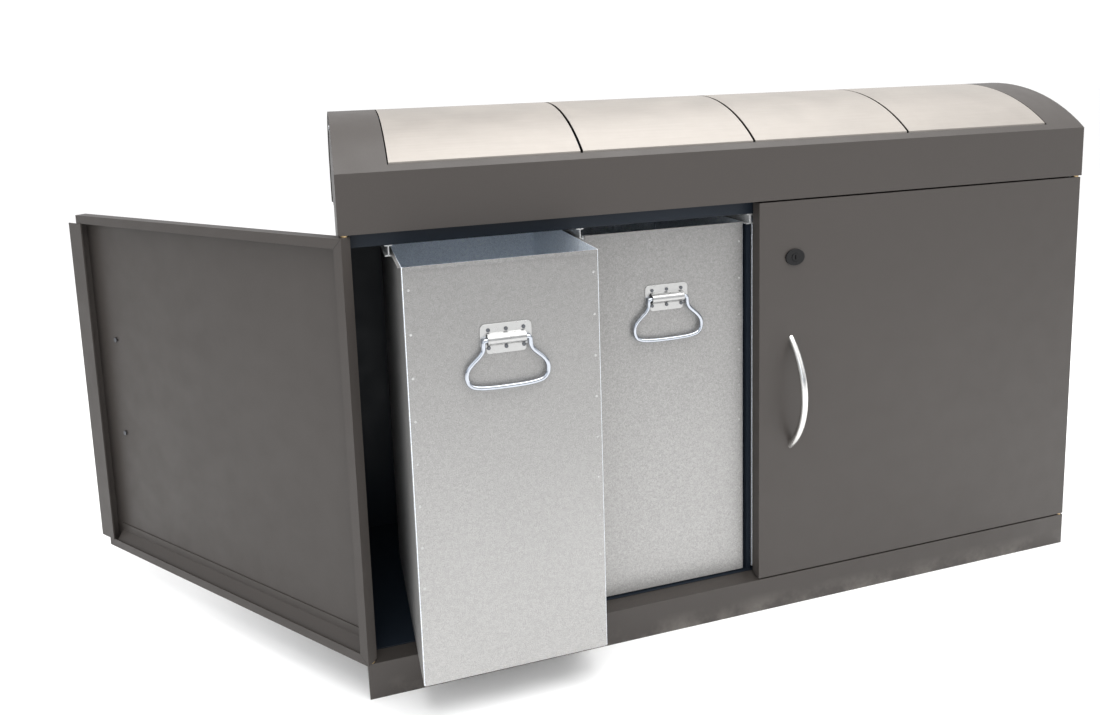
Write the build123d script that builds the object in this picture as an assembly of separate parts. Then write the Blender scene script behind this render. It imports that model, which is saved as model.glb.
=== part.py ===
from build123d import *
import math
import os

# Recycling bin station: a sheet steel cabinet with a barrel-shaped hood, four push-in inlet flaps,
# two folded doors and four galvanised bins that hang from rails and slide out to the front.
# Millimetres, +Z up. The origin lies on the floor under the middle of the cabinet, the front faces -Y.
# The pose modelled here: left door fully open, bin 1 pulled out, all the rest shut.

# ---- overall sizes ----
WIDTH = 1400.0           # hood, end to end
DEPTH = 410.0            # hood and plinth, front to back
PLINTH_HEIGHT = 61.0
OPENING_HEIGHT = 693.0   # plinth top to the bottom of the fascia
FASCIA_HEIGHT = 92.0     # straight front of the hood
ROOF_RISE = 89.0         # ridge above the fascia's top edge
END_OVERHANG = 3.0       # hood past the body at each end
SHEET = 2.0              # cabinet sheet
THIN = 1.5               # doors, flaps, dividers

# ---- doors ----
DOOR_THICKNESS = 20.0
DOOR_BACK_GAP = 2.0      # shut door to the body
DOOR_LIP = 16.0          # returned edge on the inner side
DOOR_GAP = 5.0           # between the two doors
DOOR_RISE = 3.0          # door above plinth, and hood above door
DOOR_SWING = 225.0
OPEN_DOOR_GAP = 1.0      # fully open door to the body's corner
PIN_RADIUS = 3.0
PIN_FIT = 0.05
BUSH_WALL = 0.75
BUSH_TO_FOLD = 0.2       # bush to the inner side of the front sheet
BUSH_LIFT = 0.3          # door above the bush collar
STRIP_WIDTH = 24.0       # stop strip on the left door
STIFFENER_RISE = 20.0
STIFFENER_FLANGE = 16.0

# ---- bow handles and lock ----
HANDLE_SPACING = 192.0
HANDLE_BAR = 12.0
HANDLE_REACH = 43.0
HANDLE_HEIGHT = 407.0
HANDLE_INSET = 64.0      # from the door's free edge
LOCK_HEIGHT = 652.0
LOCK_INSET = 68.5
LOCK_WIDE, LOCK_TALL = 37.0, 29.0
LOCK_BARREL = 14.0
ROD_WIDE, ROD_THICK = 10.0, 3.0
ROD_FIT = 0.3

# ---- bins and their rails ----
BIN_COUNT = 4
SIDE_BAY = 79.0          # body side to the first bin
RAIL_WIDE = 12.0         # rails between two bins
MIDDLE_RAIL_WIDE = 14.0
RAIL_PLAY = 1.0          # rail flange to bin wall, rim to rail web
RAIL_DROP = 40.0         # fascia's bottom edge to the flange that the bins hang on
RIM_REACH = 5.0          # rim flange past the bin wall
RIM_SEAT = 0.3
RIM_HEM = 6.0
BIN_WALL = 1.2
BIN_CORNER = 4.0
GRIP_TO_DOOR = 1.0       # drop handle to the shut door's inner side
BIN_BACK_GAP = 3.5
BIN_FLOOR_GAP = 3.0
BIN_PULL = 107.5         # how far bin 1 stands out

# ---- drop handles on the bins ----
GRIP_WIDE, GRIP_TALL = 79.0, 46.0
GRIP_BELOW_RIM = 119.0
GRIP_WIRE = 7.0
GRIP_FIT = 0.1
GRIP_ROLL_WALL = 1.6
GRIP_SINK = 0.4          # how far the rolled channel runs into its plate
GRIP_ROLL_LENGTH = 56.0
BAIL_NECK = 35.0         # half width at the neck
BAIL_HALF = 60.0         # half width at the widest place
BAIL_DROP = 71.0
RIVET_SHANK = 1.5

# ---- inlet flaps ----
LID_MARGIN = 81.0        # hood end to the first flap
LID_GAP = 4.5
LID_SETBACK = 12.0       # flap's lower edge behind the front plane
LID_SEAM = 3.0
LID_AXIS_BACK = 60.0     # flap axis behind the ridge
LID_TAIL = 6.0
LID_LIP = 14.0
LID_ROD = 4.0
KNUCKLE_RADIUS = 7.0
KNUCKLE_LENGTH = 70.0

# ---- places worked out from the sizes above ----
FRONT, BACK = -DEPTH / 2, DEPTH / 2
BUSH_RADIUS = PIN_RADIUS + PIN_FIT + BUSH_WALL
PIVOT_INSET = SHEET + BUSH_RADIUS + BUSH_TO_FOLD
# the open door's outer skin lies at 45 degrees and has to clear the body's corner
OPEN_DOOR_NEEDS = (2 + math.sqrt(2)) * PIVOT_INSET + math.sqrt(2) * OPEN_DOOR_GAP
BODY_SETBACK = max(DOOR_THICKNESS + DOOR_BACK_GAP, OPEN_DOOR_NEEDS)
GRIP_AXIS_OUT = THIN + GRIP_WIRE / 2 + GRIP_FIT + GRIP_ROLL_WALL - GRIP_SINK
GRIP_DEEP = GRIP_AXIS_OUT + GRIP_WIRE / 2 + GRIP_FIT + GRIP_ROLL_WALL
BODY_HALF = WIDTH / 2 - END_OVERHANG
BODY_FRONT, BODY_BACK = FRONT + BODY_SETBACK, BACK - BODY_SETBACK
FASCIA_BOTTOM = PLINTH_HEIGHT + OPENING_HEIGHT
CREASE = FASCIA_BOTTOM + FASCIA_HEIGHT
RIDGE = CREASE + ROOF_RISE
ROOF_RADIUS = ((DEPTH / 2) ** 2 + ROOF_RISE ** 2) / (2 * ROOF_RISE)
ROOF_AXIS = RIDGE - ROOF_RADIUS
DOOR_BOTTOM, DOOR_TOP = PLINTH_HEIGHT + DOOR_RISE, FASCIA_BOTTOM - DOOR_RISE
DOOR_BACK = FRONT + DOOR_THICKNESS
PIVOT_X, PIVOT_Y = BODY_HALF - PIVOT_INSET, FRONT + PIVOT_INSET
TOP_RAIL_TALL = 22.0
TOP_RAIL_DEEP = 25.0
TOP_RAIL_TOP = FASCIA_BOTTOM - SHEET
TOP_RAIL_BOTTOM = TOP_RAIL_TOP - TOP_RAIL_TALL
INNER_BACK = BODY_BACK - 2 * SHEET
RAIL_SEAT = FASCIA_BOTTOM - RAIL_DROP
RAIL_BOTTOM = RAIL_SEAT - SHEET
FLOOR_TOP = PLINTH_HEIGHT + SHEET
FLOOR_FRONT = BODY_FRONT + 7.0
BIN_BOTTOM = FLOOR_TOP + BIN_FLOOR_GAP
BIN_TOP = RAIL_SEAT + RIM_SEAT + BIN_WALL
BIN_FRONT, BIN_BACK = DOOR_BACK + GRIP_TO_DOOR + GRIP_DEEP, INNER_BACK - BIN_BACK_GAP
BIN_SPACE = RAIL_WIDE + 2 * RAIL_PLAY
MIDDLE_SPACE = MIDDLE_RAIL_WIDE + 2 * RAIL_PLAY
BIN_WIDTH = (2 * BODY_HALF - 2 * SIDE_BAY - (BIN_COUNT - 2) * BIN_SPACE - MIDDLE_SPACE) / BIN_COUNT
BIN_STEP = BIN_WIDTH + BIN_SPACE
BIN_MIDDLES = [side * (MIDDLE_SPACE / 2 + BIN_WIDTH / 2 + n * BIN_STEP) for side, n in
               ((-1, 1), (-1, 0), (1, 0), (1, 1))]
LID_WIDTH = (WIDTH - 2 * LID_MARGIN - (BIN_COUNT - 1) * LID_GAP) / BIN_COUNT
LID_STEP = LID_WIDTH + LID_GAP
LID_MIDDLES = [(n - (BIN_COUNT - 1) / 2) * LID_STEP for n in range(BIN_COUNT)]
LID_FRONT = FRONT + LID_SETBACK
LID_UNDER = ROOF_RADIUS - THIN
KNUCKLE_SINK = 0.5
LID_AXIS_Z = ROOF_AXIS + math.sqrt(LID_UNDER ** 2 - LID_AXIS_BACK ** 2) - KNUCKLE_RADIUS + KNUCKLE_SINK
OPENING_HALF = WIDTH / 2 - LID_MARGIN + SHEET
GRIP_AXIS_Z = BIN_TOP - GRIP_BELOW_RIM
LOCK_X = DOOR_GAP / 2 + LOCK_INSET
ROD_FRONT = FRONT + 13.0
CASE_BACK = DOOR_BACK - 2.0


def block(x, y, z):
    """A box from three (low, high) pairs."""
    sides = [high - low for low, high in (x, y, z)]
    middle = [(low + high) / 2 for low, high in (x, y, z)]
    return Pos(*middle) * Box(*sides)


def rod_x(radius, low, high, y, z):
    return Pos((low + high) / 2, y, z) * Rot(0, 90, 0) * Cylinder(radius, high - low)


def rod_y(radius, x, low, high, z):
    return Pos(x, (low + high) / 2, z) * Rot(90, 0, 0) * Cylinder(radius, high - low)


def rod_z(radius, x, y, low, high):
    return Pos(x, y, (low + high) / 2) * Cylinder(radius, high - low)


def barrel(radius, half_depth, bottom, low, high):
    """The hood's section between two x values: straight sides under a round roof."""
    eave = ROOF_AXIS + math.sqrt(radius ** 2 - half_depth ** 2)
    sides = block((low, high), (-half_depth, half_depth), (bottom, ROOF_AXIS + radius))
    roof = rod_x(radius, low, high, 0, ROOF_AXIS)
    foot = block((low, high), (-half_depth, half_depth), (bottom, eave))
    return foot + (sides & roof)


def save(name, *shapes):
    solids = [solid for shape in shapes for solid in shape.solids()]
    export_step(Compound(solids), f"parts/{name}.step")


def opened(shape):
    """A left door piece turned from shut to fully open about the door's hinge."""
    return Pos(-PIVOT_X, PIVOT_Y, 0) * Rot(0, 0, -DOOR_SWING) * Pos(PIVOT_X, -PIVOT_Y, 0) * shape


# ---- cabinet ----
BASE_RETURN = 40.0
BASE_BOLT = 6.0
BASE_BOLT_INSET = 24.0
SIDE_RETURN = 15.0


def pivot_holes(low, high):
    holes = rod_z(BUSH_RADIUS, -PIVOT_X, PIVOT_Y, low, high)
    return holes + rod_z(BUSH_RADIUS, PIVOT_X, PIVOT_Y, low, high)


def rod_slot(low, high):
    """Where a lock rod shoots through: play all round it."""
    play = 2.0
    x = (LOCK_X - ROD_WIDE / 2 - play, LOCK_X + ROD_WIDE / 2 + play)
    return block(x, (ROD_FRONT - play, ROD_FRONT + ROD_THICK + play), (low, high))


def plinth():
    half = BODY_HALF
    outer = block((-half, half), (FRONT, BACK), (0, PLINTH_HEIGHT))
    hollow_x, hollow_y = (-half + SHEET, half - SHEET), (FRONT + SHEET, BACK - SHEET)
    hollow = block(hollow_x, hollow_y, (SHEET, PLINTH_HEIGHT - SHEET))
    window_x = (-half + BASE_RETURN, half - BASE_RETURN)
    window = block(window_x, (FRONT + BASE_RETURN, BACK - BASE_RETURN), (-1, SHEET + 1))
    shell = outer - hollow - window
    for x in (-half + BASE_BOLT_INSET, half - BASE_BOLT_INSET):
        for y in (FRONT + BASE_BOLT_INSET, BACK - BASE_BOLT_INSET):
            shell -= rod_z(BASE_BOLT, x, y, -1, SHEET + 1)
    shell -= pivot_holes(PLINTH_HEIGHT - SHEET - 1, PLINTH_HEIGHT + 1)
    return shell - rod_slot(PLINTH_HEIGHT - SHEET - 1, PLINTH_HEIGHT + 1)


def floor_plate():
    half = BODY_HALF - SHEET
    return block((-half, half), (FLOOR_FRONT, INNER_BACK), (PLINTH_HEIGHT, FLOOR_TOP))


def side_panel(side):
    x = sorted((side * BODY_HALF, side * (BODY_HALF - SHEET)))
    turned = sorted((side * BODY_HALF, side * (BODY_HALF - SIDE_RETURN)))
    height = (PLINTH_HEIGHT, FASCIA_BOTTOM)
    web = block(x, (BODY_FRONT, BODY_BACK), height)
    front = block(turned, (BODY_FRONT, BODY_FRONT + SHEET), height)
    back = block(turned, (BODY_BACK - SHEET, BODY_BACK), height)
    top = block(turned, (BODY_FRONT, BODY_BACK), (FASCIA_BOTTOM - SHEET, FASCIA_BOTTOM))
    return web + front + back + top


def back_panel():
    half = BODY_HALF - SHEET
    y = (INNER_BACK, INNER_BACK + SHEET)
    return block((-half, half), y, (PLINTH_HEIGHT, FASCIA_BOTTOM - SHEET))


def top_rail(closed_y, open_y):
    """A channel across the body; its web is at closed_y."""
    half = BODY_HALF - SHEET
    inward = math.copysign(SHEET, open_y - closed_y)
    outer = block((-half, half), sorted((closed_y, open_y)), (TOP_RAIL_BOTTOM, TOP_RAIL_TOP))
    hollow_y = sorted((closed_y + inward, open_y + inward))
    return outer - block((-half - 1, half + 1), hollow_y, (TOP_RAIL_BOTTOM + SHEET, TOP_RAIL_TOP - SHEET))


def rail_places():
    """(middle, flange width) of each hanging rail, from left to right."""
    outer = MIDDLE_SPACE / 2 + BIN_WIDTH
    places = []
    for side in (-1, 1):
        places += [(side * (outer + BIN_SPACE / 2 + n * BIN_STEP), RAIL_WIDE) for n in (0, 1)]
    return places + [(0.0, MIDDLE_RAIL_WIDE)]


def hanging_rail(x, wide):
    """An I-shaped runner: the bins' rims slide on its lower flange on both sides of the web."""
    y = (BODY_FRONT + SHEET, INNER_BACK)
    web_half = wide / 2 - RIM_REACH
    lower = block((x - wide / 2, x + wide / 2), y, (RAIL_BOTTOM, RAIL_SEAT))
    web = block((x - web_half, x + web_half), y, (RAIL_BOTTOM, TOP_RAIL_BOTTOM))
    upper = block((x - wide / 2, x + wide / 2), y, (TOP_RAIL_BOTTOM - SHEET, TOP_RAIL_BOTTOM))
    return lower + web + upper


POST_HALF = 4.0
POST_DEEP = 30.0
POST_HOLE = 2.0
POST_HOLE_STEP = 75.0


def centre_post():
    y = (FLOOR_FRONT + 1, FLOOR_FRONT + 1 + POST_DEEP)
    post = block((-POST_HALF, POST_HALF), y, (FLOOR_TOP, RAIL_BOTTOM))
    hollow_z = (FLOOR_TOP - 1, RAIL_BOTTOM + 1)
    post -= block((-POST_HALF + THIN, POST_HALF + 1), (y[0] + THIN, y[1] - THIN), hollow_z)
    foot = block((-POST_HALF, POST_HALF), y, (FLOOR_TOP, FLOOR_TOP + SHEET))
    for n in range(int((RAIL_BOTTOM - FLOOR_TOP) / POST_HOLE_STEP)):
        z = FLOOR_TOP + POST_HOLE_STEP * (n + 0.5)
        post -= rod_x(POST_HOLE, -POST_HALF - 1, -POST_HALF + THIN + 1, sum(y) / 2, z)
    bolt = post_bolt_hole()
    return post + (foot - bolt)


def post_bolt_hole():
    return rod_z(2.6, 0.5, FLOOR_FRONT + 1 + POST_DEEP / 2, FLOOR_TOP - 1, FLOOR_TOP + SHEET + 1)


def post_bolt():
    y = FLOOR_FRONT + 1 + POST_DEEP / 2
    shank = rod_z(2.5, 0.5, y, FLOOR_TOP, FLOOR_TOP + SHEET)
    return shank + rod_z(2.9, 0.5, y, FLOOR_TOP + SHEET, FLOOR_TOP + SHEET + 4)


HOOD_SCREW = 2.5
HOOD_SCREW_DROP = 28.0
END_RECESS = 2.0


def hood_shell():
    half = WIDTH / 2
    outer = barrel(ROOF_RADIUS, DEPTH / 2, FASCIA_BOTTOM, -half, half)
    hollow = barrel(ROOF_RADIUS - SHEET, DEPTH / 2 - SHEET, FASCIA_BOTTOM + SHEET, -half - 1, half + 1)
    bottom_z = (FASCIA_BOTTOM - 1, FASCIA_BOTTOM + SHEET + 1)
    bottom = block((-half - 1, half + 1), (BODY_FRONT + SHEET, BODY_BACK - SHEET), bottom_z)
    opening_y = (LID_FRONT - LID_SEAM, LID_AXIS_BACK + LID_TAIL + LID_SEAM)
    inlet = block((-OPENING_HALF, OPENING_HALF), opening_y, (CREASE, RIDGE + 1))
    shell = outer - hollow - bottom - inlet
    return shell - pivot_holes(*bottom_z) - rod_slot(*bottom_z)


def hood_end(side):
    """A plate set into the open end of the hood, standing on the side panel's top flange."""
    play = 0.2
    out = WIDTH / 2 - END_RECESS
    x = sorted((side * out, side * (out - SHEET)))
    plate = barrel(ROOF_RADIUS - SHEET - play, DEPTH / 2 - SHEET - play, FASCIA_BOTTOM + SHEET, *x)
    foot_y = (BODY_FRONT + SHEET + play, BODY_BACK - SHEET - play)
    foot_x = sorted((side * out, side * (out - SIDE_RETURN)))
    foot = block(foot_x, foot_y, (FASCIA_BOTTOM, FASCIA_BOTTOM + SHEET))
    web = block(x, foot_y, (FASCIA_BOTTOM, FASCIA_BOTTOM + 2 * SHEET))
    screw = rod_x(HOOD_SCREW + 0.1, min(x) - 1, max(x) + 1, 0, RIDGE - HOOD_SCREW_DROP)
    return plate + foot + web - screw


def hood_screw(side):
    face = side * (WIDTH / 2 - END_RECESS)
    z = RIDGE - HOOD_SCREW_DROP
    head = rod_x(2 * HOOD_SCREW, *sorted((face, face + side * END_RECESS)), 0, z)
    return head + rod_x(HOOD_SCREW, *sorted((face, face - side * 8)), 0, z)


def divider_places():
    inner = [(n - (BIN_COUNT - 2) / 2) * LID_STEP for n in range(BIN_COUNT - 1)]
    outer = OPENING_HALF + THIN
    return [-outer] + inner + [outer]


def divider(x):
    """A plate under each gap between two flaps, standing on the two cross rails."""
    drop = 2 * SHEET
    half = BODY_BACK - SHEET
    plate_x = (x - THIN / 2, x + THIN / 2)
    plate = block(plate_x, (-half, half), (TOP_RAIL_TOP, RIDGE))
    plate &= rod_x(ROOF_RADIUS - drop, *plate_x, 0, ROOF_AXIS)
    return plate - rod_x(LID_ROD + 0.05, plate_x[0] - 1, plate_x[1] + 1, LID_AXIS_BACK, LID_AXIS_Z)


def lid_rod():
    end = divider_places()[-1] + 6
    return rod_x(LID_ROD, -end, end, LID_AXIS_BACK, LID_AXIS_Z)


def lid_spring(x):
    half, wall = 25.0, 1.8
    sleeve = rod_x(LID_ROD + 0.1 + wall, x - half, x + half, LID_AXIS_BACK, LID_AXIS_Z)
    return sleeve - rod_x(LID_ROD + 0.1, x - half - 1, x + half + 1, LID_AXIS_BACK, LID_AXIS_Z)


def hinge_bush(x, seat, collar):
    """A flanged bush pressed into the sheet at seat; its collar faces the door."""
    through = rod_z(BUSH_RADIUS, x, PIVOT_Y, *seat)
    flange = rod_z(PIVOT_INSET - 0.5, x, PIVOT_Y, *collar)
    return through + flange - rod_z(PIN_RADIUS + PIN_FIT, x, PIVOT_Y, seat[0] - 9, seat[1] + 9)


def hinge_bushes():
    bushes = []
    low_seat, low_collar = (PLINTH_HEIGHT - SHEET, PLINTH_HEIGHT), (PLINTH_HEIGHT, DOOR_BOTTOM - BUSH_LIFT)
    top_seat, top_collar = (FASCIA_BOTTOM, FASCIA_BOTTOM + SHEET), (DOOR_TOP + BUSH_LIFT, FASCIA_BOTTOM)
    for x in (-PIVOT_X, PIVOT_X):
        bushes.append(hinge_bush(x, low_seat, low_collar))
        bushes.append(hinge_bush(x, top_seat, top_collar))
    return bushes


# ---- doors, modelled shut ----
DOOR_SHUT_EDGES = {-1: (-BODY_HALF, -DOOR_GAP / 2), 1: (DOOR_GAP / 2, BODY_HALF)}
PIN_HOLE = 0.1


def door_pan(side):
    low, high = DOOR_SHUT_EDGES[side]
    pan = block((low, high), (FRONT, DOOR_BACK), (DOOR_BOTTOM, DOOR_TOP))
    hollow_y, hollow_z = (FRONT + THIN, DOOR_BACK - THIN), (DOOR_BOTTOM + THIN, DOOR_TOP - THIN)
    pan -= block((low + THIN, high - THIN), hollow_y, hollow_z)
    window_z = (DOOR_BOTTOM + DOOR_LIP, DOOR_TOP - DOOR_LIP)
    pan -= block((low + DOOR_LIP, high - DOOR_LIP), (FRONT + DOOR_THICKNESS / 2, DOOR_BACK + 1), window_z)
    pan -= rod_z(PIN_RADIUS + PIN_HOLE, side * PIVOT_X, PIVOT_Y, DOOR_BOTTOM - 1, DOOR_TOP + 1)
    for z in handle_feet():
        pan -= rod_y(2.1, handle_x(side), FRONT - 1, FRONT + THIN + 1, z)
    return pan


def handle_x(side):
    return side * (DOOR_GAP / 2 + HANDLE_INSET)


def handle_feet():
    """Heights of the two handle screws, a little inside the bar's feet."""
    reach = HANDLE_SPACING / 2
    return (HANDLE_HEIGHT - reach, HANDLE_HEIGHT + reach)


def bow_handle(side):
    """A round bar bent to one arc, cut off flush with the door."""
    sag = HANDLE_REACH - HANDLE_BAR / 2
    half = HANDLE_SPACING / 2
    radius = (half ** 2 + sag ** 2) / (2 * sag)
    middle_y = FRONT - sag + radius
    sweep_angle = math.asin(half / radius) * 1.25
    across, along = radius * math.cos(sweep_angle), radius * math.sin(sweep_angle)
    ends = [Vector(handle_x(side), middle_y - across, HANDLE_HEIGHT + turn * along) for turn in (-1, 1)]
    path = ThreePointArc(ends[0], Vector(handle_x(side), FRONT - sag, HANDLE_HEIGHT), ends[1])
    section = Plane(origin=path @ 0, z_dir=path % 0) * Circle(HANDLE_BAR / 2)
    bar = sweep(section, path)
    far = HANDLE_SPACING
    bar -= block((handle_x(side) - far, handle_x(side) + far), (FRONT, FRONT + far), (0, 2 * HANDLE_HEIGHT))
    for z in handle_feet():
        bar -= rod_y(2.05, handle_x(side), FRONT - 4.5, FRONT + 1, z)
    return bar


def handle_screw(side, z):
    inside = FRONT + THIN
    shank = rod_y(2.0, handle_x(side), FRONT - 4, inside, z)
    return shank + rod_y(4.5, handle_x(side), inside, inside + 3, z)


def door_stiffener(side):
    """A folded strip in the door's foot: a slope from the lip up to the skin, then a flange on the skin."""
    low, high = [edge + inset for edge, inset in zip(DOOR_SHUT_EDGES[side], (20.0, -20.0))]
    skin, lip = FRONT + THIN, DOOR_BACK - THIN
    foot = DOOR_BOTTOM + DOOR_LIP / 2
    head = foot + STIFFENER_RISE
    tip = head + STIFFENER_FLANGE
    outline = [(lip, foot), (skin, head), (skin, tip), (skin + THIN, tip),
               (skin + THIN, head + THIN / 2), (lip, foot + 2 * THIN)]
    face = make_face(Polyline(*[(low, y, z) for y, z in outline], close=True))
    strip = extrude(face, amount=high - low, dir=(1, 0, 0))
    if side > 0:
        strip -= rod_slot(foot - 1, head + STIFFENER_FLANGE + 1)
    return strip


def door_strip():
    """The stop strip on the inner side of the left door's free edge; it laps behind the right door."""
    x = (-DOOR_GAP / 2 - DOOR_LIP, -DOOR_GAP / 2 + STRIP_WIDTH)
    return block(x, (DOOR_BACK, DOOR_BACK + THIN), (DOOR_BOTTOM + DOOR_LIP, DOOR_TOP - DOOR_LIP))


def hinge_pins(side):
    """Shouldered pins fixed in the door's lower and upper edge, reaching into the bushes."""
    x, reach, shoulder = side * PIVOT_X, 5.0, 12.0
    low = rod_z(PIN_RADIUS, x, PIVOT_Y, PLINTH_HEIGHT - reach, DOOR_BOTTOM + THIN)
    low += rod_z(PIN_RADIUS + 1.2, x, PIVOT_Y, DOOR_BOTTOM + THIN, DOOR_BOTTOM + THIN + shoulder)
    high = rod_z(PIN_RADIUS, x, PIVOT_Y, DOOR_TOP - THIN, FASCIA_BOTTOM + reach)
    high += rod_z(PIN_RADIUS + 1.2, x, PIVOT_Y, DOOR_TOP - THIN - shoulder, DOOR_TOP - THIN)
    return low, high


# ---- lock on the right door ----
CASE_HALF, CASE_TALL = 22.0, 26.0
BARREL_HOLE = LOCK_BARREL / 2 + 0.1
ROD_TRAVEL = 10.0
CAM_BACK = FRONT + 12.0


def rod_hole(low, high):
    x = (LOCK_X - ROD_WIDE / 2 - ROD_FIT, LOCK_X + ROD_WIDE / 2 + ROD_FIT)
    return block(x, (ROD_FRONT - ROD_FIT, ROD_FRONT + ROD_THICK + ROD_FIT), (low, high))


def right_door_pan():
    pan = door_pan(1) - rod_y(BARREL_HOLE, LOCK_X, FRONT - 1, FRONT + THIN + 1, LOCK_HEIGHT)
    return pan - rod_hole(DOOR_BOTTOM - 1, DOOR_TOP + 1)


def lock_case():
    x, z = (LOCK_X - CASE_HALF, LOCK_X + CASE_HALF), (LOCK_HEIGHT - CASE_TALL, LOCK_HEIGHT + CASE_TALL)
    y = (FRONT + THIN, CASE_BACK)
    case = block(x, y, z)
    case -= block((x[0] + THIN, x[1] - THIN), (y[0] + THIN, y[1] - THIN), (z[0] + THIN, z[1] - THIN))
    case -= rod_y(BARREL_HOLE, LOCK_X, y[0] - 1, y[0] + THIN + 1, LOCK_HEIGHT)
    return case - rod_hole(z[0] - 1, z[1] + 1)


def lock_rosette():
    oval = extrude(Ellipse(LOCK_WIDE / 2, LOCK_TALL / 2), amount=3.0)
    plate = Pos(LOCK_X, FRONT, LOCK_HEIGHT) * Rot(90, 0, 0) * oval
    return plate - rod_y(BARREL_HOLE, LOCK_X, FRONT - 5, FRONT + 1, LOCK_HEIGHT)


def lock_barrel():
    """The keyed core with its cam plate at the inner end."""
    core = rod_y(LOCK_BARREL / 2, LOCK_X, FRONT - 3.5, CAM_BACK - 3, LOCK_HEIGHT)
    core -= block((LOCK_X - 0.8, LOCK_X + 0.8), (FRONT - 4, FRONT + 2), (LOCK_HEIGHT - 4, LOCK_HEIGHT + 4))
    cam = block((LOCK_X - 14, LOCK_X + 14), (CAM_BACK - 3, CAM_BACK), (LOCK_HEIGHT - 5, LOCK_HEIGHT + 5))
    return core + cam


def lock_rod(turn):
    """A flat bolt from the lock to the door's upper (turn 1) or lower (turn -1) edge."""
    tip = DOOR_TOP - 0.5 if turn > 0 else DOOR_BOTTOM + 0.5
    z = sorted((LOCK_HEIGHT + turn * 11.5, tip))
    return block((LOCK_X - ROD_WIDE / 2, LOCK_X + ROD_WIDE / 2), (ROD_FRONT, ROD_FRONT + ROD_THICK), z)


# ---- inlet flaps ----
def lid(x):
    """A curved push-in flap in the hood's roof, with two knuckles on the rod behind the ridge."""
    low, high = x - LID_WIDTH / 2, x + LID_WIDTH / 2
    plate = rod_x(ROOF_RADIUS, low, high, 0, ROOF_AXIS) - rod_x(LID_UNDER, low - 1, high + 1, 0, ROOF_AXIS)
    plate &= block((low, high), (LID_FRONT, LID_AXIS_BACK + LID_TAIL), (CREASE, RIDGE + 1))
    edge = ROOF_AXIS + math.sqrt(LID_UNDER ** 2 - LID_FRONT ** 2)
    plate += block((low, high), (LID_FRONT, LID_FRONT + THIN), (edge - LID_LIP, edge + THIN / 2))
    for start in (low + 12, high - 12 - KNUCKLE_LENGTH):
        knuckle = rod_x(KNUCKLE_RADIUS, start, start + KNUCKLE_LENGTH, LID_AXIS_BACK, LID_AXIS_Z)
        plate += knuckle & rod_x(ROOF_RADIUS - THIN / 2, low, high, 0, ROOF_AXIS)
    return plate - rod_x(LID_ROD + 0.05, low - 1, high + 1, LID_AXIS_BACK, LID_AXIS_Z)


# ---- bins ----
GRIP_RIVETS = [(x, z) for z in (14.0, -13.0) for x in (-27.0, 0.0, 27.0)]


def bin_shell(middle, front):
    """Floor, four walls and the two flanges that the bin hangs by, spot-welded to each other."""
    back = front + BIN_BACK - BIN_FRONT
    half = BIN_WIDTH / 2
    depth = back - front
    centre = Pos(middle, (front + back) / 2, BIN_BOTTOM)
    height = BIN_TOP - BIN_BOTTOM
    inner = RectangleRounded(BIN_WIDTH - 2 * BIN_WALL, depth - 2 * BIN_WALL, BIN_CORNER - BIN_WALL)
    walls = centre * extrude(RectangleRounded(BIN_WIDTH, depth, BIN_CORNER), amount=height)
    walls -= centre * extrude(inner, amount=height)
    pieces = [centre * extrude(inner, amount=BIN_WALL)]
    z = (BIN_BOTTOM, BIN_TOP)
    hem_x = (middle - half + BIN_CORNER, middle + half - BIN_CORNER)
    hem_z = (BIN_TOP - RIM_HEM, BIN_TOP)
    front_wall = walls & block((middle - half, middle + half), (front, front + BIN_CORNER), z)
    front_wall += block(hem_x, (front - BIN_WALL, front), hem_z)
    for x, rivet_z in GRIP_RIVETS:
        hole_y = (front - 1, front + BIN_WALL + 1)
        front_wall -= rod_y(RIVET_SHANK + 0.05, middle + x, *hole_y, GRIP_AXIS_Z + rivet_z)
    back_wall = walls & block((middle - half, middle + half), (back - BIN_CORNER, back), z)
    back_wall += block(hem_x, (back, back + BIN_WALL), hem_z)
    pieces += [front_wall, back_wall]
    side_y = (front + BIN_CORNER, back - BIN_CORNER)
    for side in (-1, 1):
        wall_x = sorted((middle + side * (half - BIN_WALL), middle + side * half))
        flange_x = sorted((middle + side * half, middle + side * (half + RIM_REACH - RAIL_PLAY)))
        pieces.append(block(wall_x, side_y, z))
        pieces.append(block(flange_x, side_y, (BIN_TOP - BIN_WALL, BIN_TOP)))
    return pieces


def grip_plate(middle, front):
    """A pressed plate whose middle is rolled out to a channel for the bail."""
    corner = 7.0
    outline = RectangleRounded(GRIP_WIDE, GRIP_TALL, corner)
    plate = Pos(middle, front, GRIP_AXIS_Z) * Rot(90, 0, 0) * extrude(outline, amount=THIN)
    half = GRIP_ROLL_LENGTH / 2
    bore = GRIP_WIRE / 2 + GRIP_FIT
    axis = front - GRIP_AXIS_OUT
    plate += rod_x(bore + GRIP_ROLL_WALL, middle - half, middle + half, axis, GRIP_AXIS_Z)
    plate -= rod_x(bore, middle - half - 1, middle + half + 1, axis, GRIP_AXIS_Z)
    for x, z in GRIP_RIVETS:
        plate -= rod_y(RIVET_SHANK + 0.05, middle + x, front - THIN - 1, front + 1, GRIP_AXIS_Z + z)
    return plate


def grip_rivet(middle, front, x, z):
    face = front - THIN
    rivet = rod_y(RIVET_SHANK, middle + x, face, front + BIN_WALL, GRIP_AXIS_Z + z)
    rivet += rod_y(3.0, middle + x, face - 1.2, face, GRIP_AXIS_Z + z)
    return rivet + rod_y(2.5, middle + x, front + BIN_WALL, front + BIN_WALL + 0.8, GRIP_AXIS_Z + z)


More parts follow.
